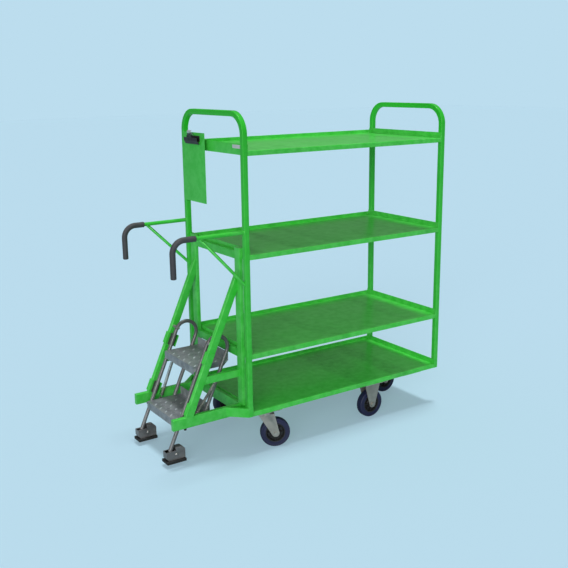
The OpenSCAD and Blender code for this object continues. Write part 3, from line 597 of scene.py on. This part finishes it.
def tray(node):
    """Folded sheet tray: floor, lips at the ends and the far side, their bends, and tacks of weld."""
    low, high = corners(node)
    top = low[2] + FOLD
    lip_y = high[1] - WALL
    run = (low[0] + WALL, high[0] - WALL)
    parts = [tray_floor(low, high, top)]
    parts.append(bar((low[0], lip_y, low[2]), (high[0], high[1], top + SIDE_LIP), 0, SHEET_EDGE))
    for x0 in (low[0], run[1]):
        parts.append(bar((x0, low[1], low[2]), (x0 + WALL, high[1], high[2]), 1, SHEET_EDGE))
    parts.append(fillet(0, *run, (0, lip_y, top), (-1, 1), SHEET_BEND))
    for x0, sign in ((run[0], 1), (run[1], -1)):
        parts.append(fillet(1, low[1] + SHEET_BEND, lip_y, (x0, 0, top), (sign, 1), SHEET_BEND))
    for x in np.linspace(low[0], high[0], 5)[1:-1]:
        parts.append(weld_tack(x, lip_y, top))
    for x in (low[0] + 9 * MM, high[0] - 9 * MM):
        parts.append(weld_tack(x, lip_y, top))
    add_piece("tray_" + node.removeprefix("shelf_"), parts, TRAY_GREEN, "frame", (node,), sharp=40)


def on_both_sides(name, part, node):
    """Green piece of one part and its mirror image, in place of a node."""
    add_piece(name, [part, mirrored(part)], GREEN, "frame", (node,), sharp=25)


def frame_bars():
    """Rails, inner posts, struts and braces, all of tube with soft edges."""
    low, high = corners("base_rails")
    on_both_sides("rails", bar((low[0], high[1] - STEP_TUBE, low[2]), high, 0, TUBE_EDGE), "base_rails")
    low, high = corners("inner_posts")
    on_both_sides("posts", bar((low[0], high[1] - INNER_WIDTH, low[2]), high, 2, INNER_EDGE), "inner_posts")
    to_posts = ((STEP_END[0], 0, 0), X_AXIS)
    low, high = corners("struts")
    middle = np.array([STEP_END[0] - STRUT_X, high[1] - STEP_TUBE / 2, SLOPE_Z])
    section = rounded_outline(STRUT_DEPTH, STEP_TUBE, TUBE_EDGE)
    strut = beam(section, middle, OFF_SLOPE, Y_AXIS, SLOPE, ((0, 0, low[2]), Z_AXIS), to_posts)
    on_both_sides("sloped_struts", strut, "struts")
    low, high = corners("side_braces")
    section = rounded_outline(STEP_TUBE, high[2] - low[2], TUBE_EDGE)
    origin = np.array([0, high[1] - STEP_TUBE / 2, (low[2] + high[2]) / 2])
    on_strut = (middle + OFF_SLOPE * STRUT_DEPTH / 2, OFF_SLOPE)
    brace = beam(section, origin, Y_AXIS, Z_AXIS, X_AXIS, on_strut, to_posts)
    on_both_sides("level_braces", brace, "side_braces")


for hoop_node in ("end_frame_left", "end_frame_right"):
    end_hoop(hoop_node)
for tray_node in TRAY_NODES:
    tray(tray_node)
frame_bars()
for green_node, edge in (("shelf_stiffeners", 1.0), ("castor_bearers", 1.5), ("corner_ties", 1.2),
                         ("slide_guides", 1.2), ("clipboard_plate", 0.6)):
    rounded_copy(green_node, GREEN, edge * MM)


# Push handles


def push_handles():
    """Green tubes that turn down into long rubber grips; the far one sits a little lower and shorter."""
    tubes = []
    for name, side in (("grip_near", -1), ("grip_far", 1)):
        low, high = corners(name)
        y = side * POST_Y
        z = high[2] - GRIP_R
        x_out = low[0] + GRIP_R
        route = [(STEP_END[0], y, z), (x_out, y, z), (x_out, y, low[2] + 4 * MM)]
        tubes.append(swept(bent_path(route, HANDLE_BEND, 20), circle_outline(TUBE_R, ROUND_STEPS), Y_AXIS))
        tubes.append(turned(weld_ring(TUBE_R), np.array([STEP_END[0], y, z]), X_AXIS, 40))
        route = [(high[0], y, z), (x_out, y, z), (x_out, y, low[2])]
        grip = grip_sleeve(bent_path(route, HANDLE_BEND, 24))
        add_piece("sleeve_" + name.removeprefix("grip_"), [grip], GRIP, "frame", (name,), sharp=50)
    add_piece("handle_tubes", tubes, GREEN, "frame", ("push_handles",))


def weld_ring(radius):
    """Ring of weld about a tube's end: a small bulge from the tube to the face behind it."""
    return [(radius - 1 * MM, 0.0), (radius + 3 * MM, 0.0), (radius + 2.2 * MM, -1.6 * MM),
            (radius, -3.2 * MM), (radius - 1 * MM, -3.2 * MM)]


def grip_sleeve(path):
    """Sleeve along the path, GRIP_R in radius, with rounded ends and shallow ribs.

    With e the way to the nearer end and s the way from the start, the radius loses
    3.5 mm (1 - e / 4 mm) squared within 4 mm of an end, and 0.25 mm (1 + cos(2 pi s / 9 mm)) / 2 everywhere.
    """
    end_drop, end_length, rib_drop, rib_pitch = 3.5 * MM, 4 * MM, 0.25 * MM, 9 * MM
    fine = refined(path, 1.5 * MM)
    runs = np.diff(fine, axis=0)
    s = np.concatenate([[0], np.cumsum(np.linalg.norm(runs, axis=1))])
    ends = np.minimum(s, s[-1] - s)
    rounding = end_drop * np.clip(1 - ends / end_length, 0, 1) ** 2
    ribs = rib_drop * (1 + np.cos(2 * math.pi * s / rib_pitch)) / 2
    radius = GRIP_R - rounding - ribs
    runs = unit(runs)
    tangent = unit(np.concatenate([runs[:1], runs[:-1] + runs[1:], runs[-1:]]))
    across = unit(np.cross(tangent, Y_AXIS))
    ring = circle_outline(1.0, 32)
    spoke = ring[None, :, :1] * Y_AXIS + ring[None, :, 1:] * across[:, None]
    return skin(fine[:, None] + radius[:, None, None] * spoke)


def refined(path, spacing):
    """The same path with points at even steps along it."""
    s = np.concatenate([[0], np.cumsum(np.linalg.norm(np.diff(path, axis=0), axis=1))])
    t = np.linspace(0, s[-1], int(s[-1] / spacing) + 1)
    return np.stack([np.interp(t, s, path[:, k]) for k in range(3)], 1)


push_handles()
rounded_copy("handle_braces", GREEN, 0.0)


# Castors


def tyre_profile(rim, radius, half):
    """Tyre section: flat bead, hollow sidewall, quarter-round shoulder and a slightly crowned tread.

    The shoulder is its hub + 7 mm (sin a, cos a), and the tread rises 0.6 mm from there to its middle.
    """
    shoulder = 7 * MM
    crown = 0.6 * MM
    hub = np.array([radius - shoulder - crown, half - shoulder])
    a = np.linspace(0, math.pi / 2, 7)
    arc = hub + shoulder * np.stack([np.sin(a), np.cos(a)], 1)
    bead = [[rim, half - 1 * MM], [rim + 2 * MM, half]]
    sidewall = [[rim + 6 * MM, half - 1.2 * MM], [radius - shoulder - 4 * MM, half - 1.2 * MM]]
    upper = np.concatenate([bead, sidewall, arc, [[radius, 0.35 * half]]])
    return np.concatenate([upper, upper[::-1] * [1, -1]])


def wheel_profile(bore, rim, half):
    """Wheel centre section: boss, dished web and a rim flange on each side."""
    boss = [(bore, half + 5 * MM), (17 * MM, half + 5 * MM), (18 * MM, half + 3 * MM), (19 * MM, 7 * MM)]
    web = [(22 * MM, 5 * MM), (rim - 11 * MM, 5 * MM), (rim - 8 * MM, 8 * MM)]
    flange = [(rim - 6 * MM, half - 3 * MM), (rim - 5 * MM, half - 1.5 * MM), (rim, half - 1.5 * MM)]
    upper = np.array(boss + web + flange)
    return np.concatenate([upper, upper[::-1] * [1, -1]])


AXLE_BORE = 6.2 * MM
AXLES = {joint["child"]: np.array(joint["axis"], float) for joint in frame["record"]["behaviour"]["joints"]}


def wheels():
    """Five wheels: a black centre with ribs inside a dark blue tyre, each about its own axle."""
    low, high = corners("tyre_mid_far")
    half = (high[1] - low[1]) / 2
    for name in ("near", "far", "rear", "mid_near", "mid_far"):
        low, high = corners("tyre_" + name)
        middle = (low + high) / 2
        radius = (high[2] - low[2]) / 2
        axis = unit(AXLES["wheel_" + name])
        rim = centre_radius("wheel_" + name)
        tyre = turned(tyre_profile(rim, radius, half), middle, axis, 96)
        add_piece("tread_" + name, [tyre], TYRE, "wheel_" + name, ("tyre_" + name,))
        centre_parts = [turned(wheel_profile(AXLE_BORE, rim, half), middle, axis, 96)]
        for k in range(8):
            centre_parts.append(rib(middle, axis, k * math.pi / 4, rim, half))
        add_piece("centre_" + name, centre_parts, HUB, "wheel_" + name, ("wheel_" + name,))


def centre_radius(node):
    """Outer radius of a wheel centre, half its height."""
    low, high = corners(node)
    return (high[2] - low[2]) / 2


def rib(middle, axis, angle, rim, half):
    """Radial rib through the web, tapering outwards, on both faces."""
    level = np.cross(axis, Z_AXIS)
    out = math.cos(angle) * level + math.sin(angle) * Z_AXIS
    side = np.cross(axis, out)
    reach = np.array([16 * MM, rim - 6 * MM])
    width = np.array([half - 1 * MM, half - 5 * MM])
    outline = np.array([(-1, -1), (1, -1), (1, 1), (-1, 1)]) * [1.6 * MM, 1]
    grid = middle + reach[:, None, None] * out + outline[None, :, :1] * side
    grid = grid + outline[None, :, 1:] * width[:, None, None] * axis
    return skin(grid)


wheels()
for plated, edge in (("fork_near", 1.5), ("fork_far", 1.5), ("fork_rear", 1.5), ("fixed_bracket_near", 1.5),
                     ("fixed_bracket_far", 1.5), ("swivel_plates", 0.8)):
    rounded_copy(plated, ZINC, edge * MM)
for bolted in ("axle_near", "axle_far", "axle_rear", "fixed_axles", "castor_bolts"):
    rounded_copy(bolted, ZINC, 0.5 * MM)


# Step unit


def step_hoops():
    """Round tube hoops: front leg, arch over the top tread, rear leg, as one bent run on each side.

    The arch leaves the front leg's top by ARCH_R (1 - cos a) off the slope and ARCH_R sin a up the slope.
    """
    low, high = corners("step_hoops")
    front = np.array([STEP_END[0] - LEG_X, high[1] - LEG_R, SLOPE_Z])
    a = np.linspace(0, math.pi, 33)[:, None]
    crown = front + SLOPE * ARCH_UP + OFF_SLOPE * ARCH_R * (1 - np.cos(a)) + ARCH_R * np.sin(a) * SLOPE
    leg_end = low[2] + 4 * MM
    foot = front + SLOPE * ((leg_end - SLOPE_Z) / SLOPE[2])
    rear = front + 2 * ARCH_R * OFF_SLOPE
    rear_end = tread_height("lower_tread") - TREAD_FLANGE
    rear_low = rear + SLOPE * ((rear_end - rear[2]) / SLOPE[2])
    path = np.concatenate([[foot], crown, [rear_low]])
    tube = swept(path, circle_outline(LEG_R, ROUND_STEPS), Y_AXIS)
    add_piece("step_tubes", [tube, mirrored(tube)], GREY, "step_unit", ("step_hoops",))


def mark_places(low, high):
    """Places of the marks as (x, y, sign): two grids of one pitch, the second half a pitch on."""
    pitch = 60 * MM
    margin = 12 * MM
    inset = 3 * MM
    places = []
    for sign, shift in ((1, 0.25), (-1, 0.75)):
        xs = np.arange(low[0] + shift * pitch + inset, high[0] - margin, pitch)
        ys = np.arange(low[1] + shift * pitch, high[1] - margin, pitch)
        gx, gy = np.meshgrid(xs, ys, indexing="ij")
        places.append(np.stack([gx.ravel(), gy.ravel(), np.full(gx.size, sign)], 1))
    return np.concatenate(places)


def tread_marks(node):
    """Raised marks: low lenses at 45 degrees; one set is painted light as a painted highlight for the glint
    that marks of that direction catch, and the other, turned, is painted over in the plate's colour.

    Over t along and w across, both from -1 to 1, a lens is as wide as (1 - t squared) and as high as
    (1 - t squared)(1 - w squared), and its rim lies just under the plate.
    """
    low, high = corners(node)
    plate_z = tread_height(node)
    half_length, half_width, rise, sunk = 17 * MM, 5.2 * MM, 1.8 * MM, 0.1 * MM
    tt, ww = np.meshgrid(np.linspace(-1, 1, 9), np.linspace(-1, 1, 5), indexing="ij")
    along = tt * half_length
    across = ww * half_width * (1 - tt ** 2)
    z = plate_z + rise * (1 - tt ** 2) * (1 - ww ** 2) - sunk
    c = math.sqrt(0.5)
    glint_marks, painted_over = [], []
    for x, y, sign in mark_places(low, high):
        grid = np.stack([x + c * along - sign * c * across, y + sign * c * along + c * across, z], -1)
        # Marks of one direction take the light colour as a painted highlight; the turned ones keep the
        # plate's colour.
        (glint_marks if sign > 0 else painted_over).append(open_grid(grid))
    add_piece("marks_" + node, glint_marks, GLINT_MARKS, "step_unit", outward=False)
    add_piece("cross_marks_" + node, painted_over, TREAD, "step_unit", outward=False)


def open_grid(grid):
    """Quads over an open grid of points, facing up."""
    rows, columns = grid.shape[:2]
    index = np.arange(rows * columns).reshape(rows, columns)
    quads = np.stack([index[:-1, :-1], index[1:, :-1], index[1:, 1:], index[:-1, 1:]], -1)
    return grid.reshape(-1, 3), quads.reshape(-1, 4).tolist()


def tread_height(node):
    """Top of a tread's plate, which its rear upstand stands above."""
    return corners(node)[1][2] - TREAD_LIP


step_hoops()
for tread_node in ("top_tread", "lower_tread"):
    rounded_copy(tread_node, TREAD, 1.4 * MM)
    tread_marks(tread_node)
for small_node, finish, edge in (
        ("foot_bracket_near", GREY, 1.2), ("foot_bracket_far", GREY, 1.2),
        ("foot_pad_near", PAD, 2.0), ("foot_pad_far", PAD, 2.0),
        ("foot_bolts", STEEL, 0.4), ("stop_bolts", STEEL, 0.5),
        ("tread_spring_pins", STEEL, 0.5), ("frame_spring_pins", STEEL, 0.5),
        ("guide_liners", NYLON, 0.5), ("rail_buffers", PAD, 1.0), ("blank_plate", LABEL, 0.2),
        ("clip_base", HUB, 0.2), ("clip_jaw", HUB, 0.2), ("clip_pin", STEEL, 0.2)):
    rounded_copy(small_node, finish, edge * MM)


# Springs and clip


WIRE_R = 1.9 * MM
COIL_R = 7 * MM
HOOK_R = 6.4 * MM
LEAD = 11 * MM
COIL_PITCH = 5.2 * MM


def spring_route(long):
    """Middle line of a spring along Z: an eye, a lead, a helix, a lead and an eye.

    The helix is (COIL_R cos a, COIL_R sin a, start + run a / (2 pi turns)); each eye is most of a
    circle about its pin, and each lead runs straight from the coil to the axis.
    """
    run = long - 2 * (HOOK_R + LEAD)
    turns = int(run / COIL_PITCH)
    a = np.linspace(0, 2 * math.pi * turns, 14 * turns + 1)
    helix = np.stack([COIL_R * np.cos(a), COIL_R * np.sin(a), long / 2 - run / 2 + run * a / a[-1]], 1)
    share = np.arange(1, 5) / 4
    lead = np.stack([COIL_R * (1 - share), 0 * share, (1 + 4 * share) * MM], 1)
    t = np.radians(np.arange(0, 301, 20))
    eye = np.stack([HOOK_R * np.sin(t), 0 * t, -HOOK_R * np.cos(t)], 1)
    top = np.concatenate([lead + [0, 0, long / 2 + run / 2], eye + [0, 0, long]])
    bottom = np.concatenate([lead * [1, 1, -1] + [0, 0, long / 2 - run / 2], eye * [1, 1, -1]])
    return np.concatenate([bottom[::-1], helix, top])


def return_springs():
    """Coil springs that reach from the tread's pins to the braces' pins, built at rest and set on no body.
    """
    reach = HOOK_R + WIRE_R
    for side in ("near", "far"):
        low, high = corners("return_spring_" + side)
        y = (low[1] + high[1]) / 2
        start = np.array([low[0] + reach, y, low[2] + reach])
        end = np.array([high[0] - reach, y, high[2] - reach])
        w = unit(end - start)
        u = np.array([w[2], 0, -w[0]])
        local = spring_route(np.linalg.norm(end - start))
        path = start + local[:, :1] * u + local[:, 1:2] * Y_AXIS + local[:, 2:] * w
        part = swept(path, circle_outline(WIRE_R, 8), Y_AXIS + 0.1 * w)
        piece = add_piece("coil_" + side, [part], SPRING, None, ("return_spring_" + side,), sharp=60)
        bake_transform(piece)


def clip_coil():
    """Six turns of thin wire about the clip's pin: (radius cos a, evenly along Y, radius sin a)."""
    middle = centre("clip_spring")
    low, high = corners("clip_spring")
    wire = 0.6 * MM
    radius = (high[2] - low[2]) / 2 - wire
    turns = 6
    a = np.linspace(0, 2 * turns * math.pi, 20 * turns + 1)
    width = high[1] - low[1] - 2 * wire
    path = middle + np.stack([radius * np.cos(a), width * (a / a[-1] - 0.5), radius * np.sin(a)], 1)
    coil = swept(path, circle_outline(wire, 8), Y_AXIS)
    add_piece("coil_clip", [coil], STEEL, "frame", ("clip_spring",), sharp=60)


def clip_lever():
    """Bright thumb lever of the clip: a strip that rises from the jaw and bows out.

    Over t from 0 to 1 it rises by 20 mm t and stands out by 9 mm sin(0.75 pi t).
    """
    low, high = corners("clip_jaw")
    width, thickness, edge = 46 * MM, 1.2 * MM, 0.5 * MM
    bow, length, overlap = 9 * MM, 20 * MM, 5 * MM
    x, y, _ = (low + high) / 2
    t = np.linspace(0, 1, 15)
    out = x - bow * np.sin(0.75 * math.pi * t)
    rise = high[2] - overlap + length * t
    path = np.stack([out, y + 0 * t, rise], 1)
    strip = swept(path, rounded_outline(width, thickness, edge, 3), Y_AXIS)
    add_piece("clip_lever", [strip], CLIP_STEEL, "clip_jaw", sharp=40)


return_springs()
clip_coil()
clip_lever()


# Floor, light and camera


PALE = (0.503, 0.723, 0.855)
FLOOR_REACH = 40.0
FLOOR_GLOW = 0.40
HORIZON = (0.40, 0.44, 0.46)
CEILING = (1.10, 1.12, 1.14)
ROOM_LIGHT = 0.28


def pale_floor():
    """Large plain floor at zero height, part of whose colour the camera sees unshaded, to soften shadows."""
    mesh = bpy.data.meshes.new("floor")
    square = [(x * FLOOR_REACH, y * FLOOR_REACH, 0) for x, y in ((-1, -1), (1, -1), (1, 1), (-1, 1))]
    mesh.from_pydata(square, [], [(0, 1, 2, 3)])
    own = tuple(c * (1 - FLOOR_GLOW) for c in PALE)
    material, tree, shader = new_material("pale floor", own, 1.0, Specular_IOR_Level=0.0)
    path = tree.nodes.new("ShaderNodeLightPath")
    shader.inputs["Emission Color"].default_value = (*PALE, 1)
    glow = remap(tree, path.outputs["Is Camera Ray"], 0, 1, 0, FLOOR_GLOW)
    link(tree, glow, shader.inputs["Emission Strength"])
    mesh.materials.append(material)
    floor = bpy.data.objects.new("floor", mesh)
    bpy.context.collection.objects.link(floor)


def sky():
    """Even pale background for the camera; a soft bright ceiling over a dimmer horizon for the object."""
    world = bpy.data.worlds.new("studio")
    bpy.context.scene.world = world
    world.use_nodes = True
    tree = world.node_tree
    tree.nodes.clear()
    out = tree.nodes.new("ShaderNodeOutputWorld")
    place = tree.nodes.new("ShaderNodeTexCoord")
    split = tree.nodes.new("ShaderNodeSeparateXYZ")
    link(tree, place.outputs["Generated"], split.inputs[0])
    height = remap(tree, split.outputs["Z"], -0.1, 0.9)
    room = tree.nodes.new("ShaderNodeBackground")
    link(tree, mix_colours(tree, height, HORIZON, CEILING), room.inputs["Color"])
    room.inputs["Strength"].default_value = ROOM_LIGHT
    seen = tree.nodes.new("ShaderNodeBackground")
    seen.inputs["Color"].default_value = (*PALE, 1)
    path = tree.nodes.new("ShaderNodeLightPath")
    pick = tree.nodes.new("ShaderNodeMixShader")
    link(tree, path.outputs["Is Camera Ray"], pick.inputs[0])
    link(tree, room.outputs[0], pick.inputs[1])
    link(tree, seen.outputs[0], pick.inputs[2])
    link(tree, pick.outputs[0], out.inputs["Surface"])


def placed(name, data, right, up, back, place):
    """Lamp or camera object from its three axes and its place."""
    holder = bpy.data.objects.new(name, data)
    bpy.context.collection.objects.link(holder)
    rows = np.vstack([np.column_stack([right, up, back, place]), [0, 0, 0, 1]])
    holder.matrix_world = Matrix(rows.tolist())
    return holder


def sun(name, azimuth, elevation, strength, spread):
    """Sun shining from a compass azimuth (0 from +X, 90 from +Y) and an elevation."""
    lamp = bpy.data.lights.new(name, "SUN")
    lamp.energy = strength
    lamp.angle = math.radians(spread)
    a, e = math.radians(azimuth), math.radians(elevation)
    back = np.array([math.cos(a) * math.cos(e), math.sin(a) * math.cos(e), math.sin(e)])
    right = unit(np.cross(Z_AXIS, back))
    placed(name, lamp, right, np.cross(back, right), back, np.zeros(3))


CAMERA_TURN, CAMERA_DOWN, CAMERA_ROLL = np.radians((-33.86, 13.86, -0.72))
CAMERA_PLACE = (-2.072, -3.426, 1.910)
CAMERA_LENS = 52.76


def camera():
    """Camera at the photograph's place, which is given from the floor under the step end's near corner."""
    a, e, r = CAMERA_TURN, CAMERA_DOWN, CAMERA_ROLL
    forward = np.array([-math.sin(a) * math.cos(e), math.cos(a) * math.cos(e), -math.sin(e)])
    level = np.array([math.cos(a), math.sin(a), 0.0])
    upright = np.cross(level, forward)
    right = level * math.cos(r) + upright * math.sin(r)
    up = upright * math.cos(r) - level * math.sin(r)
    place = np.array(CAMERA_PLACE) + [STEP_END[0], -SIDE_Y, 0]
    lens = bpy.data.cameras.new("camera")
    lens.sensor_width = 36
    lens.lens = CAMERA_LENS
    lens.clip_end = 200
    bpy.context.scene.camera = placed("camera", lens, right, up, -forward, place)


pale_floor()
sky()
sun("overhead softbox", azimuth=10, elevation=84, strength=1.80, spread=10)
sun("front fill", azimuth=228, elevation=16, strength=1.62, spread=40)
camera()
bpy.context.scene.view_settings.view_transform = "Standard"
